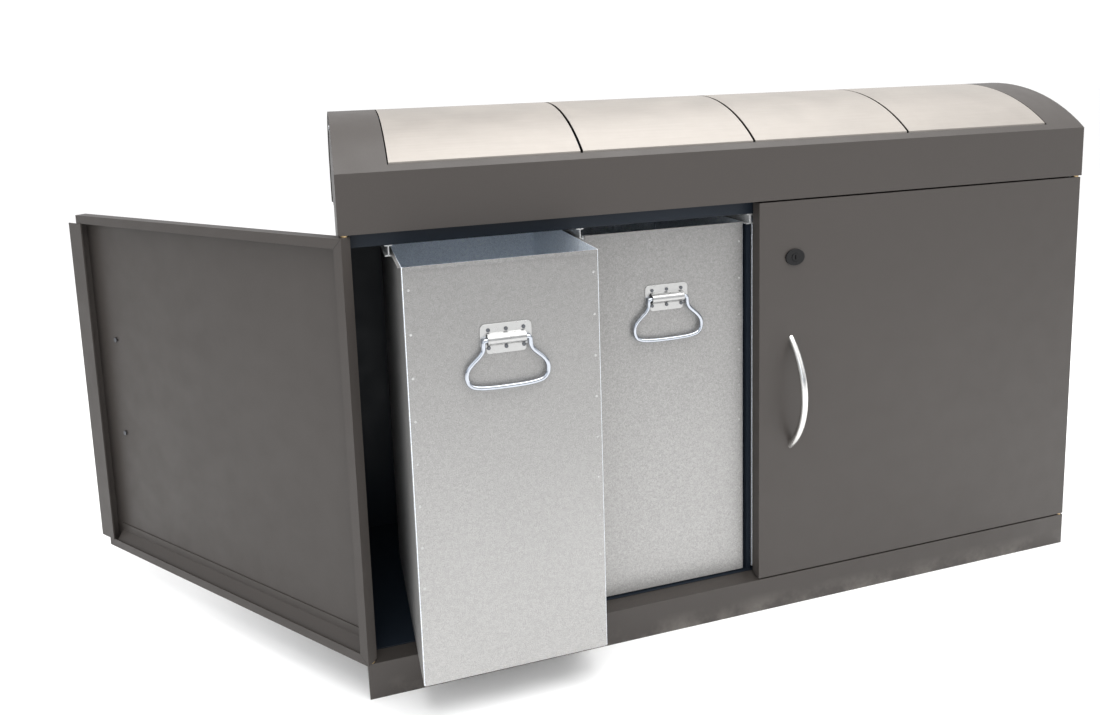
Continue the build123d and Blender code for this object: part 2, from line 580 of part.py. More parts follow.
def bail(middle, front):
    """A bent wire: its two ends meet inside the channel, below it flares out to the hand grip."""
    neck_drop, shoulder_drop, split = 13.0, 42.0, 1.0
    half = [(split, 0), (BAIL_NECK, 0), (BAIL_NECK, -neck_drop), (BAIL_HALF, -shoulder_drop),
            (BAIL_HALF - 14, -BAIL_DROP + 2), (0, -BAIL_DROP)]
    points = half + [(-x, z) for x, z in half[-2::-1]]
    radii = [6, 7, 16, 13, 60, 13, 16, 7, 6]
    y = front - GRIP_AXIS_OUT
    path = FilletPolyline(*[(middle + x, y, GRIP_AXIS_Z + z) for x, z in points], radius=radii)
    section = Plane(origin=path @ 0, z_dir=path % 0) * Circle(GRIP_WIRE / 2)
    return sweep(section, path)


def write_cabinet():
    save("plinth", plinth())
    save("floor_plate", floor_plate())
    save("side_panel_left", side_panel(-1))
    save("side_panel_right", side_panel(1))
    save("back_panel", back_panel())
    save("centre_post", centre_post())
    save("post_bolt", post_bolt())
    save("top_rail_front", top_rail(BODY_FRONT + SHEET, BODY_FRONT + SHEET + TOP_RAIL_DEEP))
    save("top_rail_rear", top_rail(INNER_BACK, INNER_BACK - TOP_RAIL_DEEP))
    save("hanging_rails", *[hanging_rail(x, wide) for x, wide in rail_places()])
    save("hood_shell", hood_shell())
    save("hood_end_left", hood_end(-1))
    save("hood_end_right", hood_end(1))
    save("hood_screws", hood_screw(-1), hood_screw(1))
    save("inlet_dividers", *[divider(x) for x in divider_places()])
    save("lid_rod", lid_rod())
    save("lid_springs", *[lid_spring(x) for x in LID_MIDDLES])
    save("hinge_bushes", *hinge_bushes())


def write_left_door():
    save("left_door_pan", opened(door_pan(-1)))
    save("left_door_strip", opened(door_strip()))
    save("left_door_stiffener", opened(door_stiffener(-1)))
    save("left_door_handle", opened(bow_handle(-1)))
    save("left_handle_screws", *[opened(handle_screw(-1, z)) for z in handle_feet()])
    save("left_hinge_pins", *[opened(pin) for pin in hinge_pins(-1)])


def write_right_door():
    save("right_door_pan", right_door_pan())
    save("right_door_stiffener", door_stiffener(1))
    save("right_door_handle", bow_handle(1))
    save("right_handle_screws", *[handle_screw(1, z) for z in handle_feet()])
    save("right_hinge_pins", *hinge_pins(1))
    save("lock_case", lock_case())
    save("lock_rosette", lock_rosette())
    save("lock_barrel", lock_barrel())
    save("upper_lock_rod", lock_rod(1))
    save("lower_lock_rod", lock_rod(-1))


def write_bins():
    for number, middle in enumerate(BIN_MIDDLES, start=1):
        front = BIN_FRONT - (BIN_PULL if number == 1 else 0)
        save(f"bin_{number}_shell", *bin_shell(middle, front))
        save(f"bin_{number}_grip_plate", grip_plate(middle, front))
        save(f"bin_{number}_rivets", *[grip_rivet(middle, front, x, z) for x, z in GRIP_RIVETS])
        save(f"bin_{number}_bail", bail(middle, front))


os.makedirs("parts", exist_ok=True)
write_cabinet()
write_left_door()
write_right_door()
for number, x in enumerate(LID_MIDDLES, start=1):
    save(f"lid_{number}", lid(x))
write_bins()
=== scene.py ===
import math

import bmesh
import bpy
from mathutils import Matrix, Quaternion, Vector


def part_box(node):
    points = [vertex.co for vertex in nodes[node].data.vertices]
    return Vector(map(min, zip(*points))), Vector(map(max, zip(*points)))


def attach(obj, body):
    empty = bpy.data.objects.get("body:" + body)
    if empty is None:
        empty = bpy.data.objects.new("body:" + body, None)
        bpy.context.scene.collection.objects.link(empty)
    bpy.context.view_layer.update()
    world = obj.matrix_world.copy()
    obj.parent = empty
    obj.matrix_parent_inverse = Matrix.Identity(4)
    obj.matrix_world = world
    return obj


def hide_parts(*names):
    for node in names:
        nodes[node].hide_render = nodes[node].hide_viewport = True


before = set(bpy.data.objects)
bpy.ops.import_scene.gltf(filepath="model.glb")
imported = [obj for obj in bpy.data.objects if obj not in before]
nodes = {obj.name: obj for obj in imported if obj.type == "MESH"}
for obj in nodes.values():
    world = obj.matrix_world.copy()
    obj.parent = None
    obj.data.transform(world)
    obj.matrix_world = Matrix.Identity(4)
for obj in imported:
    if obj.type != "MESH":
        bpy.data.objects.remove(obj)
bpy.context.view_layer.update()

# Recycling bin station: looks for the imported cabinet, in metres and in its frame.
# The cabinet's front faces -Y, the left door stands fully open and bin 1 is pulled out.

scene = bpy.context.scene
MM = 0.001
BINS = (1, 2, 3, 4)
SHARP = math.radians(32)      # sheet edges that turn more than this stay crisp
EDGE_STEPS = 2                # flats on a rounded sheet edge

# places on the cabinet that a node's box alone doesn't give
BODY_HALF = 0.697             # half the width of the body and of the shut pair of doors
DOOR_GAP_HALF = 2.5 * MM      # half the gap between the shut doors
DOOR_BACK = -0.185            # inner face of the shut doors
LEFT_PIVOT = Vector((-0.691, -0.199, 0))
LEFT_DOOR_TURN = math.radians(-225)
SIDE_SKIN = 0.6955            # beyond this, left or right, lies the side sheets' outer face
FLANGE_SKIN = 0.182           # beyond this, to the rear, lies the side sheets' rear flange
BACK_SKIN = 0.180             # middle of the back sheet
BIN_WALL = 1.2 * MM
BIN_FLANGE = 4 * MM           # reach of the flange that a bin hangs by


# ---- node helpers ----
def new_material(name, base, metallic, roughness, specular=0.5):
    """A material with its plain numbers set on the shader itself."""
    material = bpy.data.materials.new(name)
    material.use_nodes = True
    tree = material.node_tree
    shader = tree.nodes["Principled BSDF"]
    shader.inputs["Base Color"].default_value = (*base, 1)
    shader.inputs["Metallic"].default_value = metallic
    shader.inputs["Roughness"].default_value = roughness
    shader.inputs["Specular IOR Level"].default_value = specular
    return material, tree, shader


def place(tree, stretch=(1, 1, 1)):
    """Object coordinates, stretched along the piece's own directions."""
    where = tree.nodes.new("ShaderNodeTexCoord")
    mapping = tree.nodes.new("ShaderNodeMapping")
    mapping.inputs["Scale"].default_value = stretch
    tree.links.new(where.outputs["Object"], mapping.inputs["Vector"])
    return mapping.outputs["Vector"]


def noise(tree, vector, scale, detail=2.0, roughness=0.5):
    texture = tree.nodes.new("ShaderNodeTexNoise")
    texture.inputs["Scale"].default_value = scale
    texture.inputs["Detail"].default_value = detail
    texture.inputs["Roughness"].default_value = roughness
    tree.links.new(vector, texture.inputs["Vector"])
    return texture.outputs["Fac"]


def crystals(tree, vector, scale):
    """One random grey for each zinc crystal."""
    texture = tree.nodes.new("ShaderNodeTexVoronoi")
    texture.inputs["Scale"].default_value = scale
    tree.links.new(vector, texture.inputs["Vector"])
    parts = tree.nodes.new("ShaderNodeSeparateColor")
    tree.links.new(texture.outputs["Color"], parts.inputs["Color"])
    return parts.outputs["Red"]


def spread(tree, value, low, high, from_low=0.3, from_high=0.7):
    """Maps a pattern's usual range to low...high."""
    node = tree.nodes.new("ShaderNodeMapRange")
    node.inputs["From Min"].default_value = from_low
    node.inputs["From Max"].default_value = from_high
    node.inputs["To Min"].default_value = low
    node.inputs["To Max"].default_value = high
    tree.links.new(value, node.inputs["Value"])
    return node.outputs["Result"]


def combine(tree, operation, first, second):
    node = tree.nodes.new("ShaderNodeMath")
    node.operation = operation
    for socket, value in zip(node.inputs, (first, second)):
        if isinstance(value, (int, float)):
            socket.default_value = value
        else:
            tree.links.new(value, socket)
    return node.outputs[0]


def tint(tree, base, strength):
    """The base colour made lighter or darker by strength."""
    node = tree.nodes.new("ShaderNodeVectorMath")
    node.operation = "SCALE"
    node.inputs[0].default_value = base
    tree.links.new(strength, node.inputs["Scale"])
    return node.outputs["Vector"]


def blend_colours(tree, share, first, second):
    node = tree.nodes.new("ShaderNodeMix")
    node.data_type = "RGBA"
    tree.links.new(share, node.inputs["Factor"])
    for socket, value in ((node.inputs["A"], first), (node.inputs["B"], second)):
        if isinstance(value, tuple):
            socket.default_value = (*value, 1)
        else:
            tree.links.new(value, socket)
    return node.outputs["Result"]


def raise_surface(tree, shader, height, strength, distance):
    bump = tree.nodes.new("ShaderNodeBump")
    bump.inputs["Strength"].default_value = strength
    bump.inputs["Distance"].default_value = distance
    tree.links.new(height, bump.inputs["Height"])
    tree.links.new(bump.outputs["Normal"], shader.inputs["Normal"])


def object_axes(tree):
    where = tree.nodes.new("ShaderNodeTexCoord")
    parts = tree.nodes.new("ShaderNodeSeparateXYZ")
    tree.links.new(where.outputs["Object"], parts.inputs["Vector"])
    return parts.outputs


# ---- finishes ----
PAINT_SHINE = 0.34


def coat_tone(tree, vector):
    """Tiny speckle and broad soft clouds, as a share of the colour."""
    clouds = spread(tree, noise(tree, vector, 2.2, 3.0), 0.965, 1.035)
    speckle = spread(tree, noise(tree, vector, 620.0, 2.0), 0.945, 1.055)
    return combine(tree, "MULTIPLY", clouds, speckle)


def coat_surface(tree, shader, vector):
    """Satin sheen that varies a little, and fine orange peel."""
    sheen = spread(tree, noise(tree, vector, 24.0, 3.0), 0.40, 0.50)
    tree.links.new(sheen, shader.inputs["Roughness"])
    raise_surface(tree, shader, noise(tree, vector, 430.0, 1.0), 0.16, 0.25 * MM)


def powder_coat(name, base, dusty=False, specular=PAINT_SHINE):
    """Satin powder coat; a dusty one carries faint patches of dust near the ground."""
    material, tree, shader = new_material(name, base, 0.0, 0.5, specular)
    vector = place(tree)
    colour = tint(tree, base, coat_tone(tree, vector))
    if dusty:
        dust_top, most_dust = 0.30, 0.035
        ground = spread(tree, object_axes(tree)[2], dust_top, 0.0, 0.0, most_dust)
        patches = spread(tree, noise(tree, vector, 16.0, 4.0, 0.65), 0.0, 1.0, 0.42, 0.66)
        share = combine(tree, "MULTIPLY", ground, patches)
        colour = blend_colours(tree, share, colour, DUST)
    tree.links.new(colour, shader.inputs["Base Color"])
    coat_surface(tree, shader, vector)
    return material


def inside_and_outside(name, outside, inside, outer_limits):
    """Cabinet sheet: the cabinet colour on its outer faces, and on the inner ones a near-black bluish colour
    that is painted shade with a faint painted sky reflection.
    A face is an outer one beyond any of the limits, each (axis, distance, True to measure both ways)."""
    material, tree, shader = new_material(name, outside, 0.0, 0.5, PAINT_SHINE)
    vector = place(tree)
    outer = None
    for axis, limit, both_ways in outer_limits:
        along = object_axes(tree)[axis]
        if both_ways:
            along = combine(tree, "ABSOLUTE", along, 0.0)
        beyond = combine(tree, "GREATER_THAN", along, limit)
        outer = beyond if outer is None else combine(tree, "MAXIMUM", outer, beyond)
    tone = coat_tone(tree, vector)
    colour = blend_colours(tree, outer, tint(tree, inside, tone), tint(tree, outside, tone))
    tree.links.new(colour, shader.inputs["Base Color"])
    coat_surface(tree, shader, vector)
    return material


# metal share of the zinc, and the lower share on a bin's inside, which carries painted light
ZINC_METAL, HOLLOW_METAL = 0.35, 0.05


def within_box(tree, low, high):
    """1 between the two corners, 0 elsewhere."""
    inside = None
    for axis, near, far in zip(object_axes(tree), low, high):
        above = combine(tree, "GREATER_THAN", axis, near)
        below = combine(tree, "LESS_THAN", axis, far)
        both = combine(tree, "MULTIPLY", above, below)
        inside = both if inside is None else combine(tree, "MULTIPLY", inside, both)
    return inside


def galvanised(name, base, shine_low=0.34, shine_high=0.46, painted_light_fade=None, hollow=None):
    """Hot-dip zinc: small spangle with a random tone and shine for each crystal, and fine grain.
    The given fade pair is the share of the tone at a bin's foot and at its head, a painted light gradient:
    lighter near the foot, darker near the head.
    hollow is (low corner, high corner) of a bin's inside, which is painted lighter and bluer: painted light
    and a painted sky reflection."""
    material, tree, shader = new_material(name, base, ZINC_METAL, 0.42)
    vector = place(tree)
    spangle = crystals(tree, vector, 260.0)
    grain = noise(tree, vector, 600.0, 2.0, 0.7)
    clouds = spread(tree, noise(tree, vector, 3.0, 2.0), 0.975, 1.025)
    fine = combine(tree, "MULTIPLY", spread(tree, spangle, 0.93, 1.07, 0.0, 1.0),
                   spread(tree, grain, 0.78, 1.22))
    unfaded_tone = tone = combine(tree, "MULTIPLY", fine, clouds)
    # painted light and shade: the tone grows lighter towards the bin's foot and darker towards its head
    if painted_light_fade:
        gradient_low, gradient_high = 0.08, 0.70
        painted_gradient = spread(tree, object_axes(tree)[2], *painted_light_fade, gradient_low, gradient_high)
        tone = combine(tree, "MULTIPLY", tone, painted_gradient)
    colour = tint(tree, base, tone)
    # painted light and painted sky reflection: the bin's inside gets a lighter, bluer zinc colour and less
    # metal
    if hollow:
        inside = within_box(tree, *hollow)
        colour = blend_colours(tree, inside, colour, tint(tree, PAINTED_LIGHT_HOLLOW_ZINC, unfaded_tone))
        metal = spread(tree, inside, ZINC_METAL, HOLLOW_METAL, 0.0, 1.0)
        tree.links.new(metal, shader.inputs["Metallic"])
    tree.links.new(colour, shader.inputs["Base Color"])
    tree.links.new(spread(tree, spangle, shine_low, shine_high, 0.0, 1.0), shader.inputs["Roughness"])
    raise_surface(tree, shader, combine(tree, "ADD", grain, spangle), 0.08, 0.3 * MM)
    return material


def brushed_steel(name, base, stretch, roughness_low, roughness_high, lines, metallic=1.0):
    """Stainless sheet with fine brushing along the direction that the stretch leaves long."""
    material, tree, shader = new_material(name, base, metallic, 0.35)
    brushing = noise(tree, place(tree, stretch), 1.0, 3.0, 0.6)
    vector = place(tree)
    mottle = noise(tree, vector, 9.0, 4.0, 0.6)
    smudge = spread(tree, noise(tree, vector, 60.0, 3.0, 0.6), -0.02, 0.02)
    tone = combine(tree, "MULTIPLY", spread(tree, brushing, 0.97, 1.03), spread(tree, mottle, 0.91, 1.05))
    tree.links.new(tint(tree, base, tone), shader.inputs["Base Color"])
    rough = combine(tree, "ADD", spread(tree, mottle, roughness_low, roughness_high), smudge)
    tree.links.new(rough, shader.inputs["Roughness"])
    raise_surface(tree, shader, brushing, lines, 0.1 * MM)
    return material


def bright_zinc(name, base, roughness_low, roughness_high):
    """Thin bright plating: nearly a mirror, with a faint haze."""
    material, tree, shader = new_material(name, base, 1.0, 0.18)
    vector = place(tree)
    haze = noise(tree, vector, 120.0, 3.0, 0.6)
    tree.links.new(tint(tree, base, spread(tree, haze, 0.94, 1.04)), shader.inputs["Base Color"])
    tree.links.new(spread(tree, haze, roughness_low, roughness_high), shader.inputs["Roughness"])
    raise_surface(tree, shader, noise(tree, vector, 300.0, 2.0), 0.05, 0.2 * MM)
    return material


def moulded_plastic(name, base):
    """Satin plastic with a very fine moulded grain."""
    material, tree, shader = new_material(name, base, 0.0, 0.4, 0.25)
    grain = noise(tree, place(tree), 900.0, 2.0)
    tree.links.new(spread(tree, grain, 0.34, 0.5), shader.inputs["Roughness"])
    tree.links.new(tint(tree, base, spread(tree, grain, 0.8, 1.2)), shader.inputs["Base Color"])
    raise_surface(tree, shader, grain, 0.2, 0.1 * MM)
    return material


PAINT = (0.052, 0.0455, 0.0415)
DUST = (0.30, 0.28, 0.25)
# painted shade: near-black with a blue tint, standing in for the shade inside the cabinet and a faint sky
# reflection there
PAINTED_SHADE_INSIDE = (0.012, 0.017, 0.025)
# painted light: lighter bluish zinc for the bins' inner walls, standing in for light and a sky reflection
# reaching into them
PAINTED_LIGHT_HOLLOW_ZINC = (0.84, 0.90, 0.97)
coat = powder_coat("warm_grey_powder_coat", PAINT)
plinth_coat = powder_coat("plinth_powder_coat", PAINT, dusty=True)
# painted shade coat for the cabinet's inner parts: its dark colour is painted shade
painted_shade_coat = powder_coat("painted_shade_inside_coat", PAINTED_SHADE_INSIDE, specular=0.2)
# side and back sheets: cabinet colour outside, painted shade on their inner faces
side_coat = inside_and_outside("side_sheet_coat", PAINT, PAINTED_SHADE_INSIDE,
                               ((0, SIDE_SKIN, True), (1, FLANGE_SKIN, False)))
back_coat = inside_and_outside("back_sheet_coat", PAINT, PAINTED_SHADE_INSIDE, ((1, BACK_SKIN, False),))
lid_steel = brushed_steel("matt_lid_steel", (0.290, 0.266, 0.242), (14, 260, 260), 0.42, 0.54, 0.06, 0.4)
handle_steel = brushed_steel("satin_handle_steel", (0.78, 0.77, 0.75), (700, 700, 30), 0.20, 0.28, 0.08)
rail_zinc = galvanised("rail_zinc", (0.55, 0.56, 0.56), 0.30, 0.42)
weld_mark = galvanised("pressed_weld_mark", (0.43, 0.43, 0.425), 0.25, 0.35)
plate_zinc = bright_zinc("bright_plate_zinc", (0.47, 0.47, 0.465), 0.26, 0.36)
wire_zinc = bright_zinc("bright_wire_zinc", (0.50, 0.53, 0.58), 0.05, 0.10)
rivet_zinc = bright_zinc("dull_rivet_steel", (0.12, 0.125, 0.135), 0.30, 0.42)
screw_steel = bright_zinc("screw_steel", (0.55, 0.56, 0.58), 0.22, 0.34)
bush_metal = bright_zinc("sintered_bush_metal", (0.55, 0.40, 0.22), 0.30, 0.42)
black_plastic = moulded_plastic("black_lock_plastic", (0.005, 0.005, 0.0055))
seam_shadow = moulded_plastic("seam_shadow", (0.030, 0.027, 0.025))


# ---- finishes and softened edges for the CAD nodes ----
def finish_node(name, material, edge):
    """Gives a node its finish. edge is the width of its rounded sheet edges in millimetres: 0 leaves them
    crisp, and None is for lapped sheets, whose touching faces must stay apart."""
    node = nodes[name]
    node.data.materials.clear()
    node.data.materials.append(material)
    node.data.polygons.foreach_set("use_smooth", [True] * len(node.data.polygons))
    if edge is None:
        return
    weld = node.modifiers.new("join", "WELD")
    weld.merge_threshold = 0.01 * MM
    if edge:
        flat = node.modifiers.new("flat_sheets", "DECIMATE")
        flat.decimate_type = "DISSOLVE"
        flat.angle_limit = math.radians(0.3)
        add_bevel(node, edge * MM)
        normals = node.modifiers.new("flat_faces", "WEIGHTED_NORMAL")
        normals.keep_sharp = True
    else:
        split = node.modifiers.new("crisp_edges", "EDGE_SPLIT")
        split.split_angle = SHARP


def add_bevel(obj, width):
    bevel = obj.modifiers.new("sheet_edge", "BEVEL")
    bevel.limit_method = "ANGLE"
    bevel.angle_limit = SHARP
    bevel.width = width
    bevel.segments = EDGE_STEPS
    bevel.use_clamp_overlap = True


def bin_hollow(number):
    """Low and high corner of a bin's inside, as far as the middle of its walls and open at the top."""
    low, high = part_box(f"bin_{number}_shell")
    within_wall = 0.6 * BIN_WALL
    reach = Vector((BIN_FLANGE + within_wall, BIN_WALL + within_wall, within_wall))
    return low + reach, Vector((high.x - reach.x, high.y - reach.y, high.z + 1.0))


FINISHES = {
    "plinth": (plinth_coat, 0.8),
    # the floor plate, centre post, top rails and inlet dividers take the painted shade coat
    "floor_plate": (painted_shade_coat, 0.5),
    "side_panel_left": (side_coat, 0.8),
    "side_panel_right": (side_coat, 0.8),
    "back_panel": (back_coat, 0),
    "centre_post": (painted_shade_coat, 0),
    "post_bolt": (screw_steel, 0.3),
    "top_rail_front": (painted_shade_coat, 0.5),
    "top_rail_rear": (painted_shade_coat, 0.5),
    "hanging_rails": (rail_zinc, 0.4),
    "hood_shell": (coat, 0.7),
    "hood_end_left": (coat, 0.5),
    "hood_end_right": (coat, 0.5),
    "hood_screws": (screw_steel, 0.3),
    "inlet_dividers": (painted_shade_coat, 0),
    "lid_rod": (screw_steel, 0),
    "lid_springs": (screw_steel, 0.3),
    "hinge_bushes": (bush_metal, 0.2),
    "left_door_strip": (coat, 0.4),
    "lock_case": (rail_zinc, 0.4),
    "lock_rosette": (black_plastic, 0.6),
    "lock_barrel": (black_plastic, 0.3),
    "upper_lock_rod": (rail_zinc, 0.4),
    "lower_lock_rod": (rail_zinc, 0.4),
}
for side in ("left", "right"):
    FINISHES[f"{side}_door_pan"] = (coat, 0.6)
    FINISHES[f"{side}_door_stiffener"] = (coat, 0.4)
    FINISHES[f"{side}_door_handle"] = (handle_steel, 0)
    FINISHES[f"{side}_handle_screws"] = (rivet_zinc, 0.3)
    FINISHES[f"{side}_hinge_pins"] = (screw_steel, 0.3)
for number in BINS:
    # each bin's zinc carries a painted light gradient from foot to head and painted light on its inside
    bin_zinc = galvanised(f"spangled_zinc_bin_{number}", (0.350, 0.345, 0.338), painted_light_fade=(1.13, 0.66),
                          hollow=bin_hollow(number))
    FINISHES[f"lid_{number}"] = (lid_steel, 0.4)
    FINISHES[f"bin_{number}_shell"] = (bin_zinc, None)
    FINISHES[f"bin_{number}_grip_plate"] = (plate_zinc, 0.4)
    FINISHES[f"bin_{number}_rivets"] = (rivet_zinc, 0.5)
    FINISHES[f"bin_{number}_bail"] = (wire_zinc, 0)
for name, (material, edge) in FINISHES.items():
    finish_node(name, material, edge)


# ---- pieces made here ----
def add_piece(name, mesh, material, body, slot, *stands_for):
    """The mesh as a finished piece that rides on a body and may stand for CAD nodes."""
    mesh.materials.clear()
    mesh.materials.append(material)
    piece = bpy.data.objects.new(name, mesh)
    scene.collection.objects.link(piece)
    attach(piece, body)
    if stands_for:
        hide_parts(*stands_for)


def mesh_from(name, bm):
    """A finished mesh, smooth across the edges that aren't sharp."""
    bmesh.ops.remove_doubles(bm, verts=bm.verts, dist=0.001 * MM)
    bmesh.ops.recalc_face_normals(bm, faces=bm.faces)
    for face in bm.faces:
        face.smooth = True
    for edge in bm.edges:
        edge.smooth = edge.is_manifold and edge.calc_face_angle(0) < SHARP
    mesh = bpy.data.meshes.new(name)
    bm.to_mesh(mesh)
    bm.free()
    return mesh


def closed_prism(bm, near, far):
    """Faces between two matching outlines and over both ends."""
    bm.faces.new(near)
    bm.faces.new(list(reversed(far)))
    for n in range(len(near)):
        m = (n + 1) % len(near)
        bm.faces.new((near[n], near[m], far[m], far[n]))


def evaluated_mesh(obj, name):
    """The object with its modifiers and curves turned to a plain mesh; the object itself goes."""
    bpy.context.view_layer.update()
    graph = bpy.context.evaluated_depsgraph_get()
    mesh = bpy.data.meshes.new_from_object(obj.evaluated_get(graph), depsgraph=graph)
    mesh.name = name
    mesh.transform(obj.matrix_world)
    bpy.data.objects.remove(obj)
    return mesh


def softened(mesh, width):
    """Rounds a mesh's sharp edges for good."""
    holder = bpy.data.objects.new("holder", mesh)
    scene.collection.objects.link(holder)
    add_bevel(holder, width)
    return evaluated_mesh(holder, mesh.name)


# drop handle: a pressed plate, narrower below, whose middle bulges round the wire
PLATE_WIDE, LOWER_WIDE, BULGE_WIDE = 79 * MM, 61 * MM, 59 * MM
PLATE_TOP, PLATE_SHOULDER, PLATE_FOOT = 23 * MM, -12 * MM, -22.5 * MM
PLATE_THICK, PLATE_EDGE = 1.5 * MM, 0.35 * MM
BULGE_HALF, BULGE_OUT, BULGE_FLARE, BULGE_WALL = 7.6 * MM, 10.2 * MM, 2.6 * MM, 1.4 * MM
BULGE_SINK, BULGE_LIFT = 0.6 * MM, 0.02 * MM      # how far its feet enter the plate, and stand off it
BULGE_STEPS = 22
WIRE_RADIUS = 3.5 * MM


def rounded_corner(cx, cz, radius, start_deg, steps=5):
    """Points on a quarter circle, from start_deg on."""
    turns = [math.radians(start_deg + 90 * n / steps) for n in range(steps + 1)]
    return [(cx + radius * math.cos(t), cz + radius * math.sin(t)) for t in turns]


def plate_outline():
    top_r, low_r, shoulder_r = 7 * MM, 5 * MM, 3 * MM
    half, low = PLATE_WIDE / 2, LOWER_WIDE / 2
    right = rounded_corner(low - low_r, PLATE_FOOT + low_r, low_r, -90)
    right += [(low, PLATE_SHOULDER)]
    right += rounded_corner(half - shoulder_r, PLATE_SHOULDER + shoulder_r, shoulder_r, -90)
    right += rounded_corner(half - top_r, PLATE_TOP - top_r, top_r, 0)
    return right + [(-x, z) for x, z in reversed(right)]


def bulge_profile():
    """(y, z) along the bulge's outer skin from its upper foot to its lower one; both feet flare out."""
    profile = []
    for n in range(BULGE_STEPS + 1):
        t = math.pi * n / BULGE_STEPS
        flare = BULGE_FLARE * (1 - math.sin(t)) ** 3
        profile.append((-BULGE_OUT * math.sin(t) ** 0.75 - BULGE_LIFT, math.cos(t) * (BULGE_HALF + flare)))
    return profile


def bulge_core(profile):
    """The inner skin, one sheet thickness inside the outer one."""
    core = []
    for n, (y, z) in enumerate(profile):
        before, after = profile[max(n - 1, 0)], profile[min(n + 1, BULGE_STEPS)]
        along = Vector((after[0] - before[0], after[1] - before[1])).normalized()
        core.append((min(y - along.y * BULGE_WALL, BULGE_SINK), z + along.x * BULGE_WALL))
    return core


def grip_pressing(centre_x, front_y, axis_z):
    """Plate and bulge; front_y is the bin's skin, and the bulge comes towards -Y."""
    bm = bmesh.new()
    face_y = front_y - PLATE_THICK
    front, rear = ([bm.verts.new((centre_x + x, y, axis_z + z)) for x, z in plate_outline()]
                   for y in (face_y, front_y))
    closed_prism(bm, front, rear)
    skin = bulge_profile()
    rings = []
    for x in (centre_x - BULGE_WIDE / 2, centre_x + BULGE_WIDE / 2):
        for line in (skin, bulge_core(skin)):
            rings.append([bm.verts.new((x, face_y + y, axis_z + z)) for y, z in line])
    low_out, low_in, high_out, high_in = rings
    for n in range(BULGE_STEPS):
        bm.faces.new((low_out[n], low_out[n + 1], high_out[n + 1], high_out[n]))
        bm.faces.new((low_in[n + 1], low_in[n], high_in[n], high_in[n + 1]))
        bm.faces.new((low_out[n + 1], low_out[n], low_in[n], low_in[n + 1]))
        bm.faces.new((high_out[n], high_out[n + 1], high_in[n + 1], high_in[n]))
    for n in (0, BULGE_STEPS):
        bm.faces.new((low_out[n], high_out[n], high_in[n], low_in[n]))
    return softened(mesh_from("grip_pressing", bm), PLATE_EDGE)


# right half of the bail's middle line, in millimetres from the middle of the bulge
BAIL_LINE = [(1, 0), (14, 0), (29, 0), (35.5, 0), (36, -6), (36, -14), (41, -22), (52, -31), (61.5, -41),
             (63.5, -54), (58.5, -66.5), (46, -70.5), (26, -72.2), (0, -72.4)]


def bent_wire(centre_x, axis_y, axis_z):
    """The bail: round wire bent on one smooth line, its two ends meeting inside the bulge."""
    line = BAIL_LINE + [(-x, z) for x, z in reversed(BAIL_LINE[:-1])]
    curve = bpy.data.curves.new("bail_line", "CURVE")
    curve.dimensions = "3D"
    curve.bevel_depth = WIRE_RADIUS
    curve.bevel_resolution = 5
    curve.use_fill_caps = True
    spline = curve.splines.new("NURBS")
    spline.points.add(len(line) - 1)
    for point, (x, z) in zip(spline.points, line):
        point.co = (centre_x + x * MM, axis_y, axis_z + z * MM, 1)
    spline.order_u = 4
    spline.use_endpoint_u = True
    spline.resolution_u = 8
    holder = bpy.data.objects.new("bail_line", curve)
    scene.collection.objects.link(holder)
    return evaluated_mesh(holder, "bent_wire")


def stud_tree(name):
    """Geometry nodes: low round studs evenly spaced on a line."""
    tree = bpy.data.node_groups.new(name, "GeometryNodeTree")
    sockets = {}
    for label, kind in (("Count", "Int"), ("Start", "Vector"), ("End", "Vector"), ("Radius", "Float"),
                        ("Height", "Float"), ("Turn", "Vector"), ("Finish", "Material")):
        sockets[label] = tree.interface.new_socket(label, in_out="INPUT", socket_type="NodeSocket" + kind)
    tree.interface.new_socket("Studs", in_out="OUTPUT", socket_type="NodeSocketGeometry")
    given, result = tree.nodes.new("NodeGroupInput"), tree.nodes.new("NodeGroupOutput")
    line = tree.nodes.new("GeometryNodeMeshLine")
    line.mode = "END_POINTS"
    ball = tree.nodes.new("GeometryNodeMeshUVSphere")
    ball.inputs["Segments"].default_value = 12
    ball.inputs["Rings"].default_value = 6
    ball.inputs["Radius"].default_value = 1.0
    size = tree.nodes.new("ShaderNodeCombineXYZ")
    put = tree.nodes.new("GeometryNodeInstanceOnPoints")
    real = tree.nodes.new("GeometryNodeRealizeInstances")
    smooth = tree.nodes.new("GeometryNodeSetShadeSmooth")
    finish = tree.nodes.new("GeometryNodeSetMaterial")
    join = tree.links.new
    join(given.outputs["Count"], line.inputs["Count"])
    join(given.outputs["Start"], line.inputs["Start Location"])
    join(given.outputs["End"], line.inputs["Offset"])
    join(given.outputs["Radius"], size.inputs["X"])
    join(given.outputs["Radius"], size.inputs["Y"])
    join(given.outputs["Height"], size.inputs["Z"])
    join(line.outputs["Mesh"], put.inputs["Points"])
    join(ball.outputs["Mesh"], put.inputs["Instance"])
    join(size.outputs["Vector"], put.inputs["Scale"])
    join(given.outputs["Turn"], put.inputs["Rotation"])
    join(put.outputs["Instances"], real.inputs["Geometry"])
    join(real.outputs["Geometry"], smooth.inputs["Geometry"])
    join(smooth.outputs["Geometry"], finish.inputs["Geometry"])
    join(given.outputs["Finish"], finish.inputs["Material"])
    join(finish.outputs["Geometry"], result.inputs["Studs"])
    return tree, sockets


STUDS, STUD_SOCKETS = stud_tree("row_of_studs")
FACING = {"x": (0, math.pi / 2, 0), "y": (math.pi / 2, 0, 0), "z": (0, 0, 0)}


